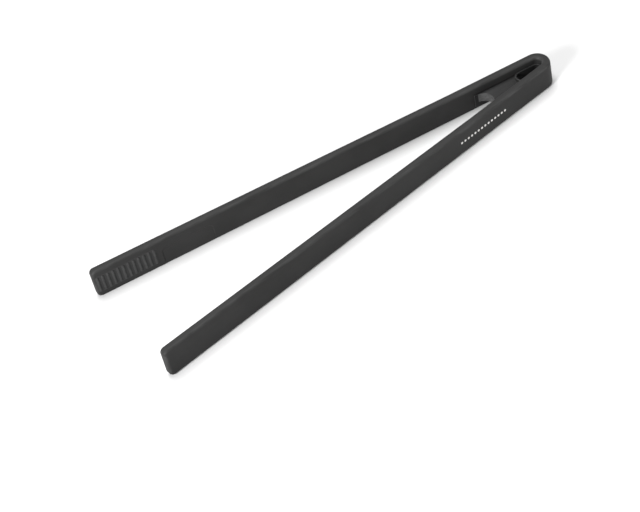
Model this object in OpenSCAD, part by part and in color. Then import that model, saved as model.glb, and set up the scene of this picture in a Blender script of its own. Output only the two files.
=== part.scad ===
// Spring loaded kitchen tongs: a U-bent steel strip in a soft black skin, held apart at the head by a
// spreader with a hanging hole. Both arms spring back to rest. The tongs lie on their narrow edges, with
// the tips toward -X, and the origin is under the middle of the whole length.

/* [Arms] */
// Length of an arm, from the middle of the bend to the tip
arm_l = 292; // [200:1:350]
// Angle between an arm and the centre line, at rest
spread = 6.7; // [5:0.1:9]
// Thickness of an arm, skin and spring together
arm_t = 5.3; // [4.6:0.1:7]
// Height of the arms at the head
head_w = 16.8; // [15.5:0.1:24]
// Height of the arms at the tips
tip_w = 20; // [15.5:0.1:30]
// Rounding of all the long edges
edge_r = 1.7; // [0.5:0.1:2.2]
// Rounding of the corners of a tip, seen on its wide face
tip_r = 3; // [2.5:0.1:6]

/* [Bend and flex lines] */
// Inner radius of the bend
bend_in_r = 3.3; // [2.8:0.1:6]
// Distance along an arm from the bend to its flex line
flex_s = 55; // [50:1:70]
// Running gap between an arm's round nose and its seat in the head
flex_gap = 0.06; // [0.01:0.01:0.1]
// How far the nose lies inside the arm's own surface
nose_inset = 0.08; // [0.05:0.01:0.2]
// Length of the groove left round the nose, between the head and the arm
lip_gap = 1.2; // [1:0.1:1.8]

/* [Spring strip] */
// Thickness of the steel strip
strip_t = 1; // [0.6:0.1:1.4]
// Height of the steel strip
strip_w = 10; // [8:0.1:12]
// Skin beyond the end of the strip, at the tip
strip_end = 8; // [4:0.5:15]
// Radius of the holes that lock the skin to the strip
key_r = 2; // [1:0.1:2.5]
// Distance between those holes
key_pitch = 36; // [20:1:50]

/* [Spreader] */
// Distance from the middle of the bend to the open end of the spreader
spreader_l = 41; // [38:0.5:46]
// Thickness of its flanges, along the arms
flange_t = 0.9; // [0.6:0.1:1.4]
// Height of its flanges, which hang from the upper face of the web
flange_h = 9; // [8:0.1:10]
// Thickness of its web, which lies across the middle
web_t = 6; // [4:0.1:8]
// Distance from the open end to the middle of the finger arch
arch_back = 0.2; // [0.1:0.1:3]
// Web left between the hanging hole and a flange
hole_side = 0.1; // [0.1:0.1:0.8]
// Distance from the middle of the bend to the far end of the hanging hole
hole_l = 14; // [13:0.1:20]
// Height of the rim round the hanging hole, above the web
rim_h = 1.3; // [0.5:0.1:2]
// Radius of the pegs that hold the spreader in the head
peg_r = 1.2; // [1:0.1:2]
// Length of the pegs
peg_l = 1.2; // [0.6:0.1:1.4]
// Distance of the first pegs from the bend
peg_first = 12; // [8:1:16]
// Distance between the pegs of a side
peg_pitch = 15; // [8:1:20]
// Gap round and behind a peg
peg_gap = 0.03; // [0.01:0.01:0.1]

/* [Grip pads] */
// Number of ribs on a pad
rib_count = 12; // [6:1:14]
// Distance between the ribs
rib_pitch = 3.25; // [2.6:0.05:4]
// Height of a rib above the arm
rib_h = 0.6; // [0.3:0.1:0.8]
// Width of a rib at its foot
rib_w = 1.8; // [1.2:0.1:2.2]
// Length of a rib, across the arm
rib_l = 11.2; // [8:0.1:13]
// Distance from the tip to the last rib
rib_end = 2.6; // [2.6:0.1:6]
// Rise of the pads above the middle of the arm
pad_rise = 0; // [-1:0.1:1]
// Thickness of a pad, let in flush
pad_t = 0.8; // [0.5:0.1:1]
// Pad beyond the ribs, all round
pad_edge = 0.5; // [0.3:0.1:1]
// Rounding of a pad's corners
pad_r = 1.5; // [0.5:0.1:3]

/* [Thumb relief] */
// Length of the shallow flat behind a pad
relief_l = 33; // [20:1:50]
// Distance between the flat and the pad
relief_gap = 3.2; // [2:0.1:10]
// Depth of the flat
relief_d = 0.3; // [0.1:0.1:0.6]
// Rise of its upper edge above the middle of the arm
relief_rise = 3.3; // [2:0.1:5]
// Rounding of its two upper corners
relief_r = 3; // [1:0.1:5]

/* [Hidden] */
$fn = 96;
skin_color = "#2f2f30";
pad_color = "#262627";
spreader_color = "#3a3a3b";
steel_color = "#b8bcc0";

// Radii of the bend, to the middle of the arm and to its outer face
bend_mid_r = bend_in_r + arm_t / 2;
bend_r = bend_in_r + arm_t;
// The arm proper starts at its flex line, and grows from there to the tip
nose_r = arm_t / 2 - nose_inset;
seat_r = nose_r + flex_gap;
flare = atan((tip_w - head_w) / (arm_l - flex_s));
mid_z = head_w / 2;
// Half the distance between the two roundings of an edge
rod_y = arm_t / 2 - edge_r;
// The strip lies at one height: it starts at the nose's surface and stops before the tip
blade_start = flex_s - sqrt(nose_r * nose_r - strip_t * strip_t / 4);
blade_end = arm_l - strip_end;
// The last locking hole keeps its own width from the strip's end
key_first = flex_s + key_pitch / 2;
key_last = blade_end - 3 * key_r;
// Half the width of the space between the arms at a distance x from the bend, less an inset all round
function room(x, inset) = (bend_in_r - inset + x * sin(spread)) / cos(spread);
// Height of the arm at a distance s along it
function arm_w(s) = head_w + (s - flex_s) * tan(flare);
// Lines and arcs that would only touch cross by this much instead
bite = 0.02;
// Upper face of the web and the flanges
web_top = mid_z + web_t / 2;
// The arch bites into both flanges, and the hanging hole keeps hole_side from them
arch_x = spreader_l - arch_back;
arch_bite = 0.1;
arch_r = room(arch_x, flange_t) * cos(spread) + arch_bite;
hole_inset = flange_t + hole_side;
hole_x = (hole_l - bite - (bend_in_r - hole_inset) / cos(spread)) / (1 + tan(spread));
hole_r = room(hole_x, hole_inset) + bite;
// The pad reaches from the first rib to the last, with an edge
pad_l = (rib_count - 1) * rib_pitch + rib_w + 2 * pad_edge;
pad_h = rib_l + 2 * pad_edge;
pad_end = arm_l - rib_end + rib_w / 2 + pad_edge;
pad_mid_s = pad_end - pad_l / 2;
pad_z = arm_w(pad_mid_s) / 2 + pad_rise;
rib_r = (rib_w * rib_w / 4 + rib_h * rib_h) / (2 * rib_h);
relief_end = pad_end - pad_l - relief_gap;
relief_top = arm_w(relief_end - relief_l / 2) / 2 + relief_rise;
// Lowest x of the tips before the origin is moved to the middle of the length
tip_x = (bend_mid_r - rod_y) * sin(spread) - (arm_l - edge_r) * cos(spread) - edge_r;
origin_x = (bend_r + tip_x) / 2;
// Clear of everything, for cuts that go right through
past = 1;
far = 2 * arm_l;

// Moves the middle of the bend to its place in the part
module placed() {
    translate([-origin_x, 0, 0])
        children();
}

// The right arm's own frame: X along the arm, Y inward, Z up
module along_arm() {
    translate([bend_mid_r * sin(spread), bend_mid_r * cos(spread), 0])
        rotate([0, 0, 180 - spread])
            children();
}

module on_both_sides() {
    children();
    mirror([0, 1, 0])
        children();
}

module left_side() {
    mirror([0, 1, 0])
        children();
}

// Plan of the arm proper, with a rounded end
module arm_plan() {
    for (side = [-1, 1])
        translate([arm_l - edge_r, side * rod_y])
            circle(r = edge_r);
    translate([flex_s, -arm_t / 2])
        square([arm_l - edge_r - flex_s, arm_t]);
    translate([flex_s, -rod_y])
        square([arm_l - flex_s, 2 * rod_y]);
}

// Section open at the top, with both lower edges rounded
module lower_section() {
    for (side = [-1, 1])
        translate([side * rod_y, edge_r])
            circle(r = edge_r);
    translate([-arm_t / 2, edge_r])
        square([arm_t, tip_w]);
    translate([-rod_y, 0])
        square([2 * rod_y, tip_w]);
}

// Side view of the arm proper that rounds the corners of the tip and leaves its other edges alone
module tip_corners() {
    corner_s = arm_l - tip_r + bite;
    low_z = tip_r - bite;
    high_z = arm_w(corner_s) - low_z;
    for (z = [low_z, high_z])
        translate([corner_s, z])
            circle(r = tip_r);
    translate([flex_s - past, -past])
        square([corner_s - flex_s + past, tip_w + 2 * past]);
    translate([flex_s, low_z])
        square([arm_l - flex_s + past, high_z - low_z]);
}

// The whole rounded bar of the arm proper
module arm_bar() {
    intersection() {
        translate([0, 0, -past])
            linear_extrude(tip_w + 2 * past)
                arm_plan();
        rotate([90, 0, 90])
            linear_extrude(far)
                lower_section();
        translate([flex_s, 0, head_w])
            rotate([0, -flare, 0])
                mirror([0, 0, 1])
                    translate([-far / 2, 0, 0])
                        rotate([90, 0, 90])
                            linear_extrude(far)
                                lower_section();
        rotate([90, 0, 0])
            linear_extrude(arm_t + 2 * past, center = true)
                tip_corners();
    }
}

// The round nose that turns about the flex line
module nose() {
    rim_y = nose_r - edge_r;
    translate([flex_s, 0, 0])
        rotate_extrude()
            intersection() {
                union() {
                    translate([-rim_y, nose_inset])
                        square([2 * rim_y, head_w - 2 * nose_inset]);
                    translate([-nose_r, nose_inset + edge_r])
                        square([2 * nose_r, head_w - 2 * nose_inset - 2 * edge_r]);
                    for (z = [nose_inset + edge_r, head_w - nose_inset - edge_r])
                        translate([rim_y, z])
                            circle(r = edge_r);
                }
                square([arm_t, head_w + past]);
            }
}

// Room for the noses of both arms
module seats() {
    on_both_sides()
        along_arm()
            translate([flex_s, 0, -past])
                cylinder(r = seat_r, h = head_w + 2 * past);
}

// Section of the head's bar, centred on its width, standing on its lower edge
module head_section() {
    for (side = [-1, 1], z = [edge_r, head_w - edge_r])
        translate([side * rod_y, z])
            circle(r = edge_r);
    translate([-arm_t / 2, edge_r])
        square([arm_t, head_w - 2 * edge_r]);
    translate([-rod_y, 0])
        square([2 * rod_y, head_w]);
}

// Section of the steel strip
module strip_section() {
    translate([-strip_t / 2, mid_z - strip_w / 2])
        square([strip_t, strip_w]);
}

// Carries a section round the bend, and a length along each arm: two halves that meet at Y = 0
module u_shape(leg) {
    overrun = 5;
    on_both_sides()
        intersection() {
            rotate([0, 0, spread - 90]) {
                rotate_extrude(angle = 90 - spread + overrun)
                    translate([bend_mid_r, 0])
                        children();
                translate([bend_mid_r, 0, 0])
                    rotate([90, 0, 0])
                        linear_extrude(leg)
                            children();
            }
            translate([-far, -far, -past])
                cube([2 * far, far, head_w + 2 * past]);
        }
}

// The pegs of the spreader, on both sides
module pegs(gap) {
    on_both_sides()
        along_arm()
            for (s = [peg_first, peg_first + peg_pitch])
                translate([s, arm_t / 2 + flange_t / 2, mid_z])
                    rotate([90, 0, 0])
                        cylinder(r = peg_r + gap, h = flange_t / 2 + peg_l + gap);
}

// The strip inside an arm, with its locking holes
module blade_shape() {
    difference() {
        translate([blade_start, -strip_t / 2, mid_z - strip_w / 2])
            cube([blade_end - blade_start, strip_t, strip_w]);
        for (s = [key_first : key_pitch : key_last])
            translate([s, arm_t, mid_z])
                rotate([90, 0, 0])
                    cylinder(r = key_r, h = 2 * arm_t);
    }
}

// Rounded plate of the grip pad
module pad_plate() {
    module corners() {
        for (x = [-1, 1], z = [-1, 1])
            translate([x * (pad_l / 2 - pad_r), z * (pad_h / 2 - pad_r)])
                circle(r = pad_r);
    }
    translate([pad_mid_s, arm_t / 2, pad_z])
        rotate([90, 0, 0])
            linear_extrude(pad_t) {
                corners();
                square([pad_l - 2 * pad_r, pad_h], center = true);
                square([pad_l, pad_h - 2 * pad_r], center = true);
            }
}

// Half-round rib, standing on the face of the arm
module rib(s) {
    root = pad_t / 2;
    translate([s, arm_t / 2, pad_z - rib_l / 2])
        linear_extrude(rib_l)
            intersection() {
                translate([0, rib_h - rib_r])
                    circle(r = rib_r);
                translate([-rib_w / 2, -root])
                    square([rib_w, root + rib_h + past]);
            }
}

module grip_pad_shape() {
    pad_plate();
    for (i = [0 : rib_count - 1])
        rib(arm_l - rib_end - i * rib_pitch);
}

// Cut for the shallow flat behind the pad, open at the lower edge of the arm
module relief_cut() {
    low = relief_end - relief_l;
    translate([0, arm_t / 2 + past, 0])
        rotate([90, 0, 0])
            linear_extrude(past + relief_d) {
                for (s = [low + relief_r, relief_end - relief_r])
                    translate([s, relief_top - relief_r])
                        circle(r = relief_r);
                translate([low + relief_r, 0])
                    square([relief_l - 2 * relief_r, relief_top]);
                translate([low, -past])
                    square([relief_l, relief_top - relief_r + past]);
            }
}

module arm_cover_shape() {
    difference() {
        union() {
            arm_bar();
            nose();
        }
        blade_shape();
        pad_plate();
        relief_cut();
    }
}

// Plan of the space between the arms, drawn in by an inset, out to a distance from the bend
module wedge(inset, reach) {
    r = bend_in_r - inset;
    near = r - bite;
    circle(r = r);
    polygon([
        [near * sin(spread), near * cos(spread)],
        [-reach, room(reach, inset)],
        [-reach, -room(reach, inset)],
        [near * sin(spread), -near * cos(spread)]
    ]);
}

// Plan of the hanging hole: it keeps hole_side from the flanges, and its far end is round
module hole_plan() {
    wedge(hole_inset, hole_x);
    translate([-hole_x, 0])
        circle(r = hole_r);
}

// Plan of the raised rim, as wide as the distance from the hole to the arms
module rim_plan() {
    rim_r = hole_r + hole_inset;
    difference() {
        intersection() {
            wedge(0, spreader_l);
            union() {
                translate([-hole_x, 0])
                    circle(r = rim_r);
                translate([-hole_x, -2 * rim_r])
                    square([spreader_l, 4 * rim_r]);
            }
        }
        hole_plan();
    }
}

// ---- the pieces ----

module head_cover() {
    color(skin_color)
        placed()
            difference() {
                u_shape(flex_s - lip_gap)
                    head_section();
                u_shape(flex_s)
                    strip_section();
                seats();
                pegs(peg_gap);
            }
}

module left_arm_cover() {
    color(skin_color)
        placed()
            left_side()
                along_arm()
                    arm_cover_shape();
}

module right_arm_cover() {
    color(skin_color)
        placed()
            along_arm()
                arm_cover_shape();
}

module spring_bow() {
    color(steel_color)
        placed()
            difference() {
                u_shape(flex_s - lip_gap)
                    strip_section();
                seats();
            }
}

module left_spring_blade() {
    color(steel_color)
        placed()
            left_side()
                along_arm()
                    blade_shape();
}

module right_spring_blade() {
    color(steel_color)
        placed()
            along_arm()
                blade_shape();
}

module spreader() {
    color(spreader_color)
        placed() {
            translate([0, 0, web_top - flange_h])
                linear_extrude(flange_h)
                    difference() {
                        wedge(0, spreader_l);
                        wedge(flange_t, spreader_l + past);
                    }
            translate([0, 0, web_top - web_t])
                linear_extrude(web_t)
                    difference() {
                        wedge(flange_t / 2, arch_x);
                        hole_plan();
                        translate([-arch_x, 0])
                            circle(r = arch_r);
                    }
            translate([0, 0, web_top - past])
                linear_extrude(past + rim_h)
                    rim_plan();
            pegs(0);
        }
}

module left_grip_pad() {
    color(pad_color)
        placed()
            left_side()
                along_arm()
                    grip_pad_shape();
}

module right_grip_pad() {
    color(pad_color)
        placed()
            along_arm()
                grip_pad_shape();
}

head_cover();
left_arm_cover();
right_arm_cover();
spring_bow();
left_spring_blade();
right_spring_blade();
spreader();
left_grip_pad();
right_grip_pad();
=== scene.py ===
import math

import bmesh
import bpy
import numpy as np
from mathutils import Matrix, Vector


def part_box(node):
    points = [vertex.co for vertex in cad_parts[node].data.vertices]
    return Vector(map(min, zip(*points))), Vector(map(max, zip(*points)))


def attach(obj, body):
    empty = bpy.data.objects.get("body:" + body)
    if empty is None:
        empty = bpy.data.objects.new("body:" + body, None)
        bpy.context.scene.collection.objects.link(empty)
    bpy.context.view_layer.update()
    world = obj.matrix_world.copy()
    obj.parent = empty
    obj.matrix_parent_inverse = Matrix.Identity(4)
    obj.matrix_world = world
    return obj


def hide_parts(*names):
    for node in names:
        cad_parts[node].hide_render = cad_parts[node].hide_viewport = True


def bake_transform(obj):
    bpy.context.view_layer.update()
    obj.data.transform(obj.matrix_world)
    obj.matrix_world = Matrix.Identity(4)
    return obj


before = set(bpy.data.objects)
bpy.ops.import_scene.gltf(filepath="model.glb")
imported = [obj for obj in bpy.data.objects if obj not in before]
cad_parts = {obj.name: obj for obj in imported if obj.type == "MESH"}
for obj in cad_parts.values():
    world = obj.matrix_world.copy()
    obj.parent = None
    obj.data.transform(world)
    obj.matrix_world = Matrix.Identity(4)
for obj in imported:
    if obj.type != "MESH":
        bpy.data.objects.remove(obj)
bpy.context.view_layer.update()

mm = 0.001

# the U-bent bar: two straight arms that grow in height from the flex line to the tips
bar = dict(
    spread=math.radians(6.7),  # half the angle between the arms
    thick=5.3 * mm,
    bendIn=3.3 * mm,  # inner radius of the bend
    headHeight=16.8 * mm,
    tipHeight=20 * mm,
    length=292 * mm,  # from the middle of the bend to a tip
    flexAt=55 * mm,
    edgeRound=1.7 * mm,
    tipRound=3 * mm,  # corners of a tip in side view
    seamAt=29 * mm,  # where the head's piece meets an arm's, on the straight part
    bendOver=9 * mm,  # half the length over which an arm bends at its flex line
    facePoints=64,
    arcPoints=9,
    cornerRows=10,
    legRows=14,
    bendRows=73,
)

midR = bar["bendIn"] + bar["thick"] / 2
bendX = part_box("head_cover")[1].x - bar["bendIn"] - bar["thick"]
sinS, cosS = math.sin(bar["spread"]), math.cos(bar["spread"])
quarter = math.pi / 2
bendTurn = quarter - bar["spread"]  # half the angle that the bend turns through
half = bar["thick"] / 2
core = half - bar["edgeRound"]  # half thickness between the centres of the edge roundings


def barHeight(s):
    # the head's height up to the flex line, then a straight growth to the tip's height
    run = bar["length"] - bar["flexAt"]
    share = np.clip((s - bar["flexAt"]) / run, 0, 1)
    return bar["headHeight"] + share * (bar["tipHeight"] - bar["headHeight"])


def onArm(side, s, inward, z):
    # point at s along an arm's middle line, moved inward across it: origin + s * along + inward * across
    x = bendX + midR * sinS - s * cosS - inward * sinS
    y = side * (midR * cosS + s * sinS - inward * cosS)
    return np.stack(np.broadcast_arrays(x, y, z), -1)


def onBend(turn, inward, z):
    # point of the bend at an angle from +X: a circle about the bend's centre, of radius midR less inward
    r = midR - inward
    return np.stack(np.broadcast_arrays(bendX + r * np.cos(turn), r * np.sin(turn), z), -1)


def roundTheBend(legFrom, legRows, bendRows, inward, z):
    # a section carried up the left arm, round the bend and down the right arm
    leg = np.linspace(legFrom, 0, legRows)[:-1, None]
    turn = np.linspace(-bendTurn, bendTurn, bendRows)[:, None]
    up, down = onArm(-1, leg, inward, z), onArm(1, leg[::-1], inward, z)
    return np.concatenate([up, onBend(turn, inward, z), down])


def smoothStep(x, low, high):
    # 0 below low, 1 above high, and 3t^2 - 2t^3 between them
    t = np.clip((x - low) / (high - low), 0, 1)
    return t * t * (3 - 2 * t)


def roundedSection(facePoints, arcPoints):
    # closed section of a bar as four quarter arcs joined by straight runs: each point is
    # (place of its arc centre across, place of it up, direction across, direction up)
    turn = np.linspace(0, quarter, arcPoints)
    run = np.linspace(0, 1, facePoints + 2)[1:-1]
    short = np.array([1 / 3, 2 / 3])
    parts = []

    def add(across, up, dirAcross, dirUp):
        parts.append(np.stack(np.broadcast_arrays(across, up, dirAcross, dirUp), -1))

    add(1.0, 0.0, np.sin(turn), -np.cos(turn))  # lower inner edge
    add(1.0, run, 1.0, 0.0)  # inner face, upward
    add(1.0, 1.0, np.cos(turn), np.sin(turn))  # upper inner edge
    add(1 - 2 * short, 1.0, 0.0, 1.0)  # top
    add(-1.0, 1.0, -np.sin(turn), np.cos(turn))  # upper outer edge
    add(-1.0, 1 - run, -1.0, 0.0)  # outer face, downward
    add(-1.0, 0.0, -np.cos(turn), -np.sin(turn))  # lower outer edge
    add(2 * short - 1, 0.0, 0.0, -1.0)  # bottom
    return np.concatenate(parts)


def edgeShare(points):
    # 1 in the middle of an edge rounding and 0 on the flat faces
    return np.abs(points[:, 2] * points[:, 3]) * 2


def gridFaces(rows, columns, wrapColumns=True, wrapRows=False, start=0):
    # quads between neighbouring rows and columns of a grid of points numbered row by row
    i = np.arange(rows if wrapRows else rows - 1)
    j = np.arange(columns if wrapColumns else columns - 1)
    i, j = np.meshgrid(i, j, indexing="ij")
    i2, j2 = (i + 1) % rows, (j + 1) % columns
    quads = np.stack([i * columns + j, i * columns + j2, i2 * columns + j2, i2 * columns + j], -1)
    return (quads.reshape(-1, 4) + start).tolist()


def cappedTube(rows, columns):
    # quads of a tube of rings, with one flat face over each end
    ends = [list(range(columns)), list(range((rows - 1) * columns, rows * columns))]
    return gridFaces(rows, columns) + ends


def buildPiece(name, points, faces, edges, body=None, weld=0.002 * mm, sharp=40):
    # one mesh from arrays, welded, facing outward, smooth up to the sharp angle
    mesh = bpy.data.meshes.new(name)
    mesh.from_pydata(points.reshape(-1, 3), [], faces)
    wear = mesh.attributes.new("edge", "FLOAT", "POINT")
    wear.data.foreach_set("value", edges.reshape(-1).astype(np.float32))
    work = bmesh.new()
    work.from_mesh(mesh)
    bmesh.ops.remove_doubles(work, verts=work.verts, dist=weld)
    bmesh.ops.recalc_face_normals(work, faces=work.faces)
    work.to_mesh(mesh)
    work.free()
    place = np.zeros(len(mesh.vertices) * 3, np.float32)
    mesh.vertices.foreach_get("co", place)
    rest = mesh.attributes.new("restPlace", "FLOAT_VECTOR", "POINT")  # each point's place at rest, read by the shader's patterns
    rest.data.foreach_set("vector", place)
    mesh.polygons.foreach_set("use_smooth", np.ones(len(mesh.polygons), bool))
    mesh.set_sharp_from_angle(angle=math.radians(sharp))
    piece = bpy.data.objects.new(name, mesh)
    bpy.context.scene.collection.objects.link(piece)
    if body:
        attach(piece, body)
    openEdges = 2 * len(mesh.edges) - len(mesh.loops)
    print("piece", name, len(mesh.polygons), "faces, open edges", openEdges)
    return piece


# ribbed pad let into the inner face of each tip
pad = dict(
    ribs=12,
    pitch=3.25 * mm,
    ribWidth=1.8 * mm,
    ribRise=0.6 * mm,
    ribLength=11.2 * mm,
    lastRib=2.6 * mm,  # from the tip to the last rib's crest
    margin=0.5 * mm,
    corner=1.5 * mm,
    depth=0.8 * mm,
    proud=0.02 * mm,
    footBlend=0.04 * mm,
    endRound=0.9 * mm,
    edgeFall=0.06 * mm,  # how far the pad's edge dips, and over what width
    edgeSoft=0.25 * mm,
    pocket=(0.15 * mm, 0.6 * mm),  # the arm's pocket starts and is full this far inside the pad's outline
    crestWearAndHighlight=(0.35 * mm, 0.6 * mm),  # heights between which the rib crests are painted lighter, as rubbing wear and a painted highlight
    rows=300,
    columns=64,
    fineRows=2 * mm,
)

# shallow thumb flat behind the pad, open at the lower edge
flat = dict(
    length=33 * mm,
    gap=3.2 * mm,
    depth=0.3 * mm,
    riseAbove=3.3 * mm,  # of its upper edge above the middle of the arm
    corner=3 * mm,
    soft=0.3 * mm,
    fineRows=4 * mm,  # length with close rows at each end, and a bit beyond it
    fineMargin=0.5 * mm,
)

padLength = (pad["ribs"] - 1) * pad["pitch"] + pad["ribWidth"] + 2 * pad["margin"]
padHeight = pad["ribLength"] + 2 * pad["margin"]
padEnd = bar["length"] - pad["lastRib"] + pad["ribWidth"] / 2 + pad["margin"]
padMid = padEnd - padLength / 2
padZ = barHeight(padMid) / 2
flatEnd = padEnd - padLength - flat["gap"]
flatMid = flatEnd - flat["length"] / 2
flatTop = barHeight(flatMid) / 2 + flat["riseAbove"]


def insideRounded(x, z, halfX, halfZ, corner):
    # distance inside the outline of a rounded rectangle, negative outside it
    qx, qz = np.abs(x) - (halfX - corner), np.abs(z) - (halfZ - corner)
    outside = np.hypot(np.maximum(qx, 0), np.maximum(qz, 0))
    return corner - outside - np.minimum(np.maximum(qx, qz), 0)


def faceSink(s, z):
    # how deep the inner face lies below its plane: the thumb flat, or the pocket under the pad
    tall = barHeight(flatMid)
    inFlat = insideRounded(s - flatMid, z - flatTop + tall, flat["length"] / 2, tall, flat["corner"])
    inPad = insideRounded(s - padMid, z - padZ, padLength / 2, padHeight / 2, pad["corner"])
    thumb = flat["depth"] * smoothStep(inFlat, 0, flat["soft"])
    pocket = pad["depth"] * smoothStep(inPad, *pad["pocket"])
    return np.maximum(thumb, pocket)


def armStations():
    # rows along an arm: close together where it bends, at the thumb flat's ends and along the pad
    flatFrom, padFrom = flatEnd - flat["length"], padEnd - padLength
    margin, last = flat["fineMargin"], bar["length"] - bar["tipRound"]
    stretches = [  # where each one starts, and its rows
        (bar["seamAt"], 10),
        (bar["flexAt"] - bar["bendOver"], 18),
        (bar["flexAt"] + bar["bendOver"], 60),
        (flatFrom - margin, 18),
        (flatFrom + flat["fineRows"], 16),
        (flatEnd - flat["fineRows"], 18),
        (flatEnd + margin, 4),
        (padFrom - margin, 10),
        (padFrom + pad["fineRows"], 24),
        (last, 1),
    ]
    pairs = zip(stretches, stretches[1:])
    return np.concatenate([np.linspace(a, b, n, endpoint=False) for (a, n), (b, _) in pairs] + [[last]])


section = roundedSection(bar["facePoints"], bar["arcPoints"])


def armCover(side, name):
    # the section carried along an arm: core outline grown by the edge rounding, then the tip's corner
    # arcs turn the rounding from up and down to forward, and a ruled grid makes the end; that grid and
    # the pocket's end stay unwelded, a slit that the grip pad covers
    across, up, dirAcross, dirUp = section.T
    r, turnIn = bar["edgeRound"], bar["tipRound"] - bar["edgeRound"]
    arcPoints, facePoints = bar["arcPoints"], bar["facePoints"]

    def sunk(s, z, inward):
        return np.where(inward > 0, np.minimum(inward, half - faceSink(s, z)), inward)

    s = armStations()[:, None] + 0 * across
    z = r + up * (barHeight(s) - 2 * r) + r * dirUp
    inward = sunk(s, z, across * core + r * dirAcross + 0 * s)
    turn = np.linspace(0, quarter, bar["cornerRows"])[1:, None]
    cornerS = bar["length"] - bar["tipRound"]
    endS = cornerS + turnIn * np.sin(turn) + r * np.abs(dirUp) * np.sin(turn)
    lowZ = bar["tipRound"] - turnIn * np.cos(turn)
    endZ = lowZ + up * (barHeight(cornerS) - 2 * lowZ) + r * dirUp * np.cos(turn)
    endIn = sunk(endS, endZ, across * core + r * dirAcross + 0 * turn)
    grid = np.concatenate([onArm(side, s, inward, z), onArm(side, endS, endIn, endZ)])
    rows, columns = grid.shape[:2]
    # end of the tip: straight lines up, from the lower edge's last row to the upper edge's
    lower = np.arange(columns - 2 - arcPoints, columns + arcPoints) % columns
    upper = np.arange(arcPoints + facePoints, 3 * arcPoints + facePoints + 2)
    inner = np.arange(arcPoints - 1, arcPoints + facePoints + 1)
    last = grid[-1]
    share = ((last[inner, 2] - last[inner[0], 2]) / (last[inner[-1], 2] - last[inner[0], 2]))[:, None, None]
    patch = last[lower][::-1][None] * (1 - share) + last[upper][None] * share
    faces = gridFaces(rows, columns) + gridFaces(*patch.shape[:2], wrapColumns=False, start=rows * columns)
    faces.append(list(range(columns)))  # closes the seam's end
    wear = edgeShare(section)
    wear = np.concatenate([np.tile(wear, rows), np.tile(wear[upper], len(inner))])
    piece = buildPiece(name, np.concatenate([grid.reshape(-1, 3), patch.reshape(-1, 3)]), faces, wear)
    before, after = bar["flexAt"] - bar["bendOver"], bar["flexAt"] + bar["bendOver"]
    start, end = (tuple(onArm(side, np.array(spot), 0.0, 0.0)) for spot in (before, after))
    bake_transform(piece)
    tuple(start)
    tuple(end)
    return piece


def headCover():
    # the same section carried from one seam, round the bend, to the other seam
    across, up, dirAcross, dirUp = section.T
    r = bar["edgeRound"]
    z = r + up * (bar["headHeight"] - 2 * r) + r * dirUp
    inward = across * core + r * dirAcross
    grid = roundTheBend(bar["seamAt"], bar["legRows"], bar["bendRows"], inward, z)
    rows, columns = grid.shape[:2]
    return buildPiece("headSkin", grid, cappedTube(rows, columns), np.tile(edgeShare(section), rows), "head")


def ribRise(s, z):
    # round-topped ribs: a circle's segment across each rib, turned round at its ends, with a soft foot
    firstRib = bar["length"] - pad["lastRib"] - (pad["ribs"] - 1) * pad["pitch"]
    index = np.clip(np.round((s - firstRib) / pad["pitch"]), 0, pad["ribs"] - 1)
    off = s - firstRib - index * pad["pitch"]
    past = np.maximum(np.abs(z - padZ) - pad["ribLength"] / 2 + pad["endRound"], 0)
    away = np.hypot(off, past)
    width, rise = pad["ribWidth"], pad["ribRise"]
    ribR = (width * width / 4 + rise * rise) / (2 * rise)
    crest = np.sqrt(np.maximum(ribR * ribR - away * away, 0)) - ribR + rise
    return (crest + np.sqrt(crest * crest + pad["footBlend"] ** 2)) / 2


def gripPad(side, name, body):
    # a plate with rounded corners whose upper side carries the ribs; its edge falls away softly
    t = np.linspace(-1, 1, pad["rows"])[:, None]
    v = np.sin(np.linspace(-quarter, quarter, pad["columns"]))[None]
    z = padZ + v * padHeight / 2
    over = np.maximum(np.abs(v) * padHeight / 2 - padHeight / 2 + pad["corner"], 0)
    halfLong = padLength / 2 - pad["corner"] + np.sqrt(np.maximum(pad["corner"] ** 2 - over**2, 0))
    s = padMid + t * halfLong
    rim = insideRounded(s - padMid, z - padZ, padLength / 2, padHeight / 2, pad["corner"])
    rise = ribRise(s, z) + pad["proud"] - pad["edgeFall"] * (1 - smoothStep(rim, 0, pad["edgeSoft"]))
    upper = onArm(side, s, half + rise, z)
    lower = onArm(side, s, half - pad["depth"] + 0 * rise, z)
    n, m = upper.shape[:2]
    index = np.arange(n * m).reshape(n, m)
    outline = np.concatenate([index[0, :-1], index[:-1, -1], index[-1, :0:-1], index[:0:-1, 0]])
    after = np.roll(outline, -1)
    wall = np.stack([outline, after, after + n * m, outline + n * m], -1).tolist()
    faces = gridFaces(n, m, wrapColumns=False) + gridFaces(n, m, wrapColumns=False, start=n * m) + wall
    # mask of the rib crests, which the pad's material paints lighter as wear and a painted highlight
    wear = np.concatenate([smoothStep(rise, *pad["crestWearAndHighlight"]).ravel(), np.zeros(n * m)])
    points = np.concatenate([upper.reshape(-1, 3), lower.reshape(-1, 3)])
    return buildPiece(name, points, faces, wear, body, weld=0.0005 * mm, sharp=50)


# spreader between the arms, with the finger arch and the hanging hole
spreader = dict(
    reach=41 * mm,
    flange=0.9 * mm,
    flangeHeight=9 * mm,  # down from the web's upper face
    web=6 * mm,
    archBack=0.2 * mm,
    archBite=0.1 * mm,
    holeSide=0.1 * mm,
    holeLength=14 * mm,
    holeRim=1.3 * mm,  # height of the hanging hole's rim above the web
    rim=0.3 * mm,  # rounding of the web's and the rim's edges
    flangeRim=0.3 * mm,
    play=0.03 * mm,  # between the rim and the arms
    webIn=0.7 * mm,  # the web's own edges lie hidden in the rim and the flanges, this far from the arms
    webOut=0.15 * mm,
    archHighlight=1.0,  # how light the arch's wall is painted: a painted highlight
    # how light the middle of each rim's rounding is painted: a painted highlight
    rimHighlight=0.4,
    facePoints=14,
    arcPoints=5,
    legRows=20,
    bendRows=49,
    rimRows=6,
)

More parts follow.
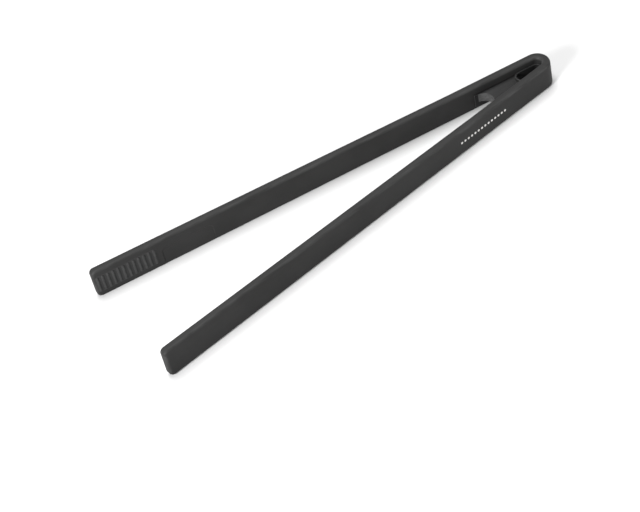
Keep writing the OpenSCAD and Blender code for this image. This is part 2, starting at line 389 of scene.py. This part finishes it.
webTop = (bar["headHeight"] + spreader["web"]) / 2
holeInset = spreader["flange"] + spreader["holeSide"]
holeX = (spreader["holeLength"] - (bar["bendIn"] - holeInset)) / (1 + sinS)  # centre of the hole's far end
runs = dict(arch=60, edge=40, bend=40)  # points on each stretch of the web's outlines
flip = np.array([1, -1])


def room(x, inset):
    # half the space between the arms at a distance x from the bend's centre, less an inset all round
    return (bar["bendIn"] - inset + x * sinS) / cosS


def flangeStrip():
    # a thin rounded section carried along the inner faces and round the inside of the bend
    thin, tall, r = spreader["flange"], spreader["flangeHeight"], spreader["flangeRim"]
    points = roundedSection(spreader["facePoints"], spreader["arcPoints"])
    across, up, dirAcross, dirUp = points.T
    inward = half + thin / 2 + across * (thin / 2 - r) + r * dirAcross
    z = webTop - tall + r + up * (tall - 2 * r) + r * dirUp
    endS = (spreader["reach"] + midR * sinS) / cosS - (half + thin) * sinS / cosS
    grid = roundTheBend(endS, spreader["legRows"], spreader["bendRows"], inward, z)
    rows, columns = grid.shape[:2]
    return grid.reshape(-1, 3), cappedTube(rows, columns), np.tile(edgeShare(points), rows)


def arc(x, r, start, end, n):
    # n points of a circle of radius r about (x, 0)
    turn = np.linspace(start, end, n)
    return np.stack([x + r * np.cos(turn), r * np.sin(turn)], -1)


def line(p, q, n):
    # n points between p and q, both left out
    share = np.linspace(0, 1, n + 2)[1:-1, None]
    return np.array(p) * (1 - share) + np.array(q) * share


def closeOutline(farEnd, far, nearR):
    # the far end's run, then along one arm, round the bend and back along the other
    near = (nearR * sinS, nearR * cosS)
    return np.concatenate([
        farEnd,
        line(far, near, runs["edge"]),
        arc(0, nearR, bendTurn, -bendTurn, runs["bend"]),
        line(near * flip, far * flip, runs["edge"]),
    ])


def holeOutline(inset):
    # a small circle at the bend and a bigger one toward the arch, joined by their common tangents
    nearR = bar["bendIn"] - inset
    farR = nearR + holeX * sinS
    farEnd = arc(-holeX, farR, 2 * math.pi - bendTurn, bendTurn, runs["arch"])
    return closeOutline(farEnd, (farR * sinS - holeX, farR * cosS), nearR)


def webOutline(inset):
    # the finger arch as half a circle, closed round the bend
    archX = spreader["reach"] - spreader["archBack"]
    archR = room(archX, spreader["flange"]) * cosS + spreader["archBite"]
    farEnd = arc(-archX, archR, -quarter, quarter, runs["arch"])
    return closeOutline(farEnd, (-archX, room(archX, inset)), bar["bendIn"] - inset)


def ringPlate(inner, outer, low, high, worn):
    # points of the inner outline moved toward their partners on the outer one, and round all four rims
    # by quarter circles: inset q(1 - cos a) at a height q sin a
    toOuter = outer - inner
    toOuter /= np.linalg.norm(toOuter, axis=1)[:, None]
    q = spreader["rim"]
    turn = np.linspace(0, quarter, spreader["rimRows"])
    inset, rise, rims = q * (1 - np.cos(turn)), q * np.sin(turn), np.abs(np.sin(2 * turn))
    inward = inner + inset[:, None, None] * toOuter
    outward = outer - inset[:, None, None] * toOuter
    plan = np.concatenate([inward, outward[::-1], outward, inward[::-1]])
    upper, lower = high - q + rise, low + q - rise
    heights = np.concatenate([upper, upper[::-1], lower, lower[::-1]])
    z = np.broadcast_to(heights[:, None, None], plan.shape[:2] + (1,))
    grid = np.concatenate([plan + [bendX, 0], z], -1)
    onOuter = np.concatenate([0 * rise, np.cos(turn)[::-1], np.cos(turn), 0 * rise])[:, None]
    # painted highlight: lighter colour in the middle of each rim's rounding, and on the arch where worn is
    # set
    wear = np.maximum(spreader["rimHighlight"] * np.tile(rims, 4)[:, None], onOuter * worn[None])
    return grid.reshape(-1, 3), gridFaces(*grid.shape[:2], wrapRows=True), wear.ravel()


def spreaderPiece():
    # the flanges, the web between them and the rim round the hanging hole
    low, rimTop = webTop - spreader["web"], webTop + spreader["holeRim"]
    # mask for a painted highlight along the web's outer outline; none on the hole's rim
    worn = np.zeros(runs["arch"] + 2 * runs["edge"] + runs["bend"])
    rim = ringPlate(holeOutline(holeInset), holeOutline(spreader["play"]), low, rimTop, worn)
    worn[:runs["arch"]] = spreader["archHighlight"]  # painted highlight on the wall of the finger arch
    web = ringPlate(holeOutline(spreader["webIn"]), webOutline(spreader["webOut"]), low, webTop, worn)
    points, faces, wear = flangeStrip()
    for morePoints, moreFaces, moreWear in (web, rim):
        faces += (np.array(moreFaces) + len(points)).tolist()
        points = np.concatenate([points, morePoints])
        wear = np.concatenate([wear, moreWear])
    return buildPiece("spreaderMoulding", points, faces, wear, "head", weld=0.0002 * mm)


class Wire:
    # a socket that takes part in Python expressions

    def __init__(self, tree, socket=None):
        self.tree, self.socket = tree, socket

    def node(self, kind, settings=None, values=None, out=0):
        made = self.tree.nodes.new(kind)
        for key, value in (settings or {}).items():
            setattr(made, key, value)
        for key, value in (values or {}).items():
            if isinstance(value, Wire):
                self.tree.links.new(value.socket, made.inputs[key])
            else:
                made.inputs[key].default_value = value
        return Wire(self.tree, made.outputs[out])

    def math(self, operation, a, b=0.0):
        return self.node("ShaderNodeMath", {"operation": operation}, {0: a, 1: b})

    def __add__(self, other):
        return self.math("ADD", self, other)

    def __sub__(self, other):
        return self.math("SUBTRACT", self, other)

    def __mul__(self, other):
        return self.math("MULTIPLY", self, other)

    def __truediv__(self, other):
        return self.math("DIVIDE", self, other)

    def __rsub__(self, other):
        return self.math("SUBTRACT", other, self)

    __radd__, __rmul__ = __add__, __mul__

    def above(self, low, high):
        # 0 below low, 1 above high, smooth between them
        values = {"Value": self, "From Min": low, "From Max": high}
        return self.node("ShaderNodeMapRange", {"interpolation_type": "SMOOTHSTEP"}, values)

    def blend(self, first, second):
        # this wire is the share of the second colour
        return self.node("ShaderNodeMix", {"data_type": "RGBA"}, {0: self, 6: first, 7: second}, 2)

    def dot(self, direction):
        values = {0: self, 1: direction}
        return self.node("ShaderNodeVectorMath", {"operation": "DOT_PRODUCT"}, values, "Value")

    def scaled(self, factors):
        return self.node("ShaderNodeVectorMath", {"operation": "MULTIPLY"}, {0: self, 1: factors})

    def noise(self, scale, detail=3.0, roughness=0.5):
        values = {"Vector": self, "Scale": scale, "Detail": detail, "Roughness": roughness}
        return self.node("ShaderNodeTexNoise", {}, values)

    def attribute(self, name, out):
        return self.node("ShaderNodeAttribute", {"attribute_name": name}, {}, out)


def newMaterial(name, fixed):
    # an empty material with its surface shader; fixed holds what is the same all over
    material = bpy.data.materials.new(name)
    material.use_nodes = True
    tree = material.node_tree
    surface = tree.nodes["Principled BSDF"]
    for key, value in fixed.items():
        surface.inputs[key].default_value = value
    start = Wire(tree)

    def join(color, roughness, height, depth):
        values = {"Strength": 1.0, "Distance": depth, "Height": height}
        bump = start.node("ShaderNodeBump", {}, values, "Normal")
        for key, wire in (("Base Color", color), ("Roughness", roughness), ("Normal", bump)):
            tree.links.new(wire.socket, surface.inputs[key])
        return material

    return start, join


def grey(tone, warmth=0.0):
    return (tone * (1 + warmth), tone, tone * (1 - warmth), 1)


patches = (0.35, 0.7)  # span of a noise that is turned into soft patches

skin = dict(
    specular=0.15,
    dark=0.018,
    light=0.023,
    worn=0.042,
    warmth=0.01,
    rough=0.60,
    broad=38,
    handling=(60, 300, 260),  # marks drawn out along the arms
    handled=(0.35, 0.75),
    grain=3200,
    pits=900,
    bump=0.03 * mm,
)

# plain row of dots on the outer face of the left arm
mark = dict(
    start=34 * mm,
    pitch=2.7 * mm,
    count=14,
    dot=0.75 * mm,
    height=8.6 * mm,
    soft=0.08 * mm,
    ink=0.62,
    face=(0.2 * mm, 0.1 * mm),  # inked between these depths below the outer face
    step=0.001,
)


def markMask(place):
    # distance to the middle of each cell of the row, 1 inside a dot's radius
    origin = onArm(-1, np.array(0.0), 0.0, 0.0)
    along, out = (-cosS, -sinS, 0), (sinS, -cosS, 0)
    s = place.dot(along) - float(np.dot(origin, along))
    outward = place.dot(out) - float(np.dot(origin, out))
    cell = (s - mark["start"]) / mark["pitch"]
    off = (s.math("FRACT", cell) - 0.5) * mark["pitch"]
    up = place.dot((0, 0, 1)) - mark["height"]
    away = s.math("SQRT", off * off + up * up)
    dots = 1 - away.above(mark["dot"] - mark["soft"], mark["dot"] + mark["soft"])
    started = cell.above(-mark["step"], mark["step"])
    ended = cell.above(mark["count"] - mark["step"], mark["count"] + mark["step"])
    return dots * (started * (1 - ended)) * outward.above(*(half - depth for depth in mark["face"]))


def skinMaterial():
    # matt silicone: faint handling marks, a fine moulded grain and slightly polished edges
    start, join = newMaterial("siliconeSkin", {"Specular IOR Level": skin["specular"]})
    place, edge = start.attribute("restPlace", "Vector"), start.attribute("edge", "Fac")
    broad = place.noise(skin["broad"], 4)
    rubbed = place.scaled(skin["handling"]).noise(1, 5, 0.6)
    grain = place.noise(skin["grain"], 2)
    pits = place.noise(skin["pits"], 3, 0.6)
    wear = edge * rubbed.above(*skin["handled"])
    dots = markMask(place)
    tones = [grey(skin[key], skin["warmth"]) for key in ("dark", "light")]
    tone = broad.above(*patches).blend(*tones)
    tone = (wear * 0.7).blend(tone, grey(skin["worn"]))
    tone = (dots * (0.82 + 0.18 * grain)).blend(tone, grey(mark["ink"], 2 * skin["warmth"]))
    rough = skin["rough"] + (broad - 0.5) * 0.16 + (rubbed - 0.5) * 0.14 - wear * 0.12 - dots * 0.08
    return join(tone, rough, grain * 0.5 + pits * 0.5 + dots * 0.4, skin["bump"])


rubber = dict(
    specular=0.25,
    dark=0.020,
    light=0.026,
    # colour of the rib crests' wear and painted highlight
    worn=0.045,
    rough=0.64,
    broad=55,
    grain=2800,
    rubs=420,
    bump=0.03 * mm,
)


def padMaterial():
    # softer, duller rubber; patches of the rib crests are painted lighter, partly rubbing wear and partly a
    # painted highlight, and are less rough
    start, join = newMaterial("gripRubber", {"Specular IOR Level": rubber["specular"]})
    place, edge = start.attribute("restPlace", "Vector"), start.attribute("edge", "Fac")
    broad = place.noise(rubber["broad"], 4)
    grain = place.noise(rubber["grain"], 2)
    # rib crests painted lighter in patches: rubbing wear and a painted highlight
    wear = edge * place.noise(rubber["rubs"], 4).above(*patches)
    tone = broad.above(*patches).blend(grey(rubber["dark"]), grey(rubber["light"]))
    tone = (wear * 0.5).blend(tone, grey(rubber["worn"]))
    rough = rubber["rough"] + (broad - 0.5) * 0.16 - wear * 0.14
    return join(tone, rough, grain, rubber["bump"])


plastic = dict(
    specular=0.2,
    dark=0.008,
    light=0.011,
    # colour of the painted highlight on the rims and the finger arch
    worn=0.066,
    rough=0.5,
    flowLines=(90, 700, 700),
    grain=2400,
    broad=70,
    bump=0.025 * mm,
)


def mouldingMaterial():
    # harder matt plastic: faint flow lines along the moulding, and a painted highlight that makes the rims
    # and the finger arch lighter
    start, join = newMaterial("spreaderPlastic", {"Specular IOR Level": plastic["specular"]})
    place = start.node("ShaderNodeTexCoord", {}, {}, "Object")
    edge = start.attribute("edge", "Fac")
    flow = place.scaled(plastic["flowLines"]).noise(1, 4)
    grain = place.noise(plastic["grain"], 2)
    broad = place.noise(plastic["broad"], 3)
    # painted highlight on the rims and the arch, broken up a little by the flow lines
    wear = edge * (0.6 + 0.4 * flow.above(*patches))
    tone = broad.above(*patches).blend(grey(plastic["dark"]), grey(plastic["light"]))
    tone = wear.blend(tone, grey(plastic["worn"]))
    rough = plastic["rough"] + (flow - 0.5) * 0.18 - wear * 0.1
    return join(tone, rough, grain * 0.6 + flow * 0.4, plastic["bump"])


steel = dict(
    dark=0.48,
    light=0.62,
    warmth=0.01,
    rough=0.32,
    brushing=(25, 400, 2600),  # lines along the strip
    broad=50,
    bump=0.01 * mm,
)


def springMaterial():
    # brushed spring steel
    start, join = newMaterial("springSteel", {"Metallic": 1.0})
    place = start.node("ShaderNodeTexCoord", {}, {}, "Object")
    brushed = place.scaled(steel["brushing"]).noise(1, 5, 0.6)
    broad = place.noise(steel["broad"], 3)
    tones = [grey(steel[key], steel["warmth"]) for key in ("dark", "light")]
    tone = brushed.above(0.25, 0.75).blend(*tones)
    rough = steel["rough"] + (brushed - 0.5) * 0.2 + (broad - 0.5) * 0.1
    return join(tone, rough, brushed, steel["bump"])


def dress(piece, material, slotName, *nodes):
    piece.data.materials.clear()
    piece.data.materials.append(material)
    if nodes:
        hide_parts(*nodes)


skinFinish, padFinish = skinMaterial(), padMaterial()
plasticFinish, steelFinish = mouldingMaterial(), springMaterial()
print("materials made")

dress(headCover(), skinFinish, "skin", "head_cover")
dress(armCover(-1, "leftArmSkin"), skinFinish, "skin", "left_arm_cover")
dress(armCover(1, "rightArmSkin"), skinFinish, "skin", "right_arm_cover")
dress(gripPad(-1, "leftGripPad", "left_arm"), padFinish, "pad", "left_grip_pad")
dress(gripPad(1, "rightGripPad", "right_arm"), padFinish, "pad", "right_grip_pad")
dress(spreaderPiece(), plasticFinish, "spreader", "spreader")
for stripName in ("spring_bow", "left_spring_blade", "right_spring_blade"):
    dress(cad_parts[stripName], steelFinish, "steel")
print("pieces dressed")

studio = dict(
    floorSize=8.0,
    floorPoints=9,
    floorDrop=0.02 * mm,
    floorTone=0.6,
    floorRough=0.8,
    sky=0.3,
    lens=112.0,
    eye=(-0.35927, -0.74192, 0.80382),
    tilt=(43.460, 9.954, -34.507),
    lights=[  # name, place, aim, width, watts
        ("overhead", (0.2, 0.5, 1.6), (0, 0, 0), 1.2, 35),
        ("tipSide", (-1.2, -0.38, 0.62), (0, 0, 0), 0.45, 32),
        ("headSide", (0.42, -0.38, 0.13), (0.14, 0, 0), 0.22, 1.3),
    ],
)


def paleFloor():
    # a flat grid just under the tongs
    size, n = studio["floorSize"] / 2, studio["floorPoints"]
    across = np.linspace(-size, size, n)
    x, y = np.meshgrid(across, across, indexing="ij")
    points = np.stack([x, y, 0 * x - studio["floorDrop"]], -1)
    mesh = bpy.data.meshes.new("floor")
    mesh.from_pydata(points.reshape(-1, 3), [], [face[::-1] for face in gridFaces(n, n, wrapColumns=False)])
    floor = bpy.data.objects.new("floor", mesh)
    bpy.context.scene.collection.objects.link(floor)
    start, join = newMaterial("palePaper", {"Specular IOR Level": 0.2})
    place = start.node("ShaderNodeTexCoord", {}, {}, "Object")
    tone = place.noise(3, 2).blend(grey(studio["floorTone"]), grey(studio["floorTone"] + 0.01))
    rough = studio["floorRough"] + 0.1 * place.noise(40, 2)
    mesh.materials.append(join(tone, rough, place.noise(600, 2), 0.02 * mm))


def softLight(name, spot, aim, width, watts):
    light = bpy.data.lights.new(name, "AREA")
    light.shape, light.size, light.energy = "SQUARE", width, watts
    holder = bpy.data.objects.new(name, light)
    bpy.context.scene.collection.objects.link(holder)
    holder.location = spot
    holder.rotation_euler = (Vector(aim) - Vector(spot)).to_track_quat("-Z", "Y").to_euler()


def lightStudio():
    world = bpy.data.worlds.new("studioAir")
    world.use_nodes = True
    air = world.node_tree.nodes["Background"]
    air.inputs["Color"].default_value = (1, 1, 1, 1)
    air.inputs["Strength"].default_value = studio["sky"]
    bpy.context.scene.world = world
    for light in studio["lights"]:
        softLight(*light)


def placeCamera():
    lens = bpy.data.cameras.new("camera")
    lens.sensor_width, lens.lens = 36, studio["lens"]
    camera = bpy.data.objects.new("camera", lens)
    bpy.context.scene.collection.objects.link(camera)
    camera.location = studio["eye"]
    camera.rotation_euler = [math.radians(a) for a in studio["tilt"]]
    bpy.context.scene.camera = camera


paleFloor()
lightStudio()
placeCamera()
bpy.context.scene.view_settings.view_transform = "Standard"
print("studio ready")
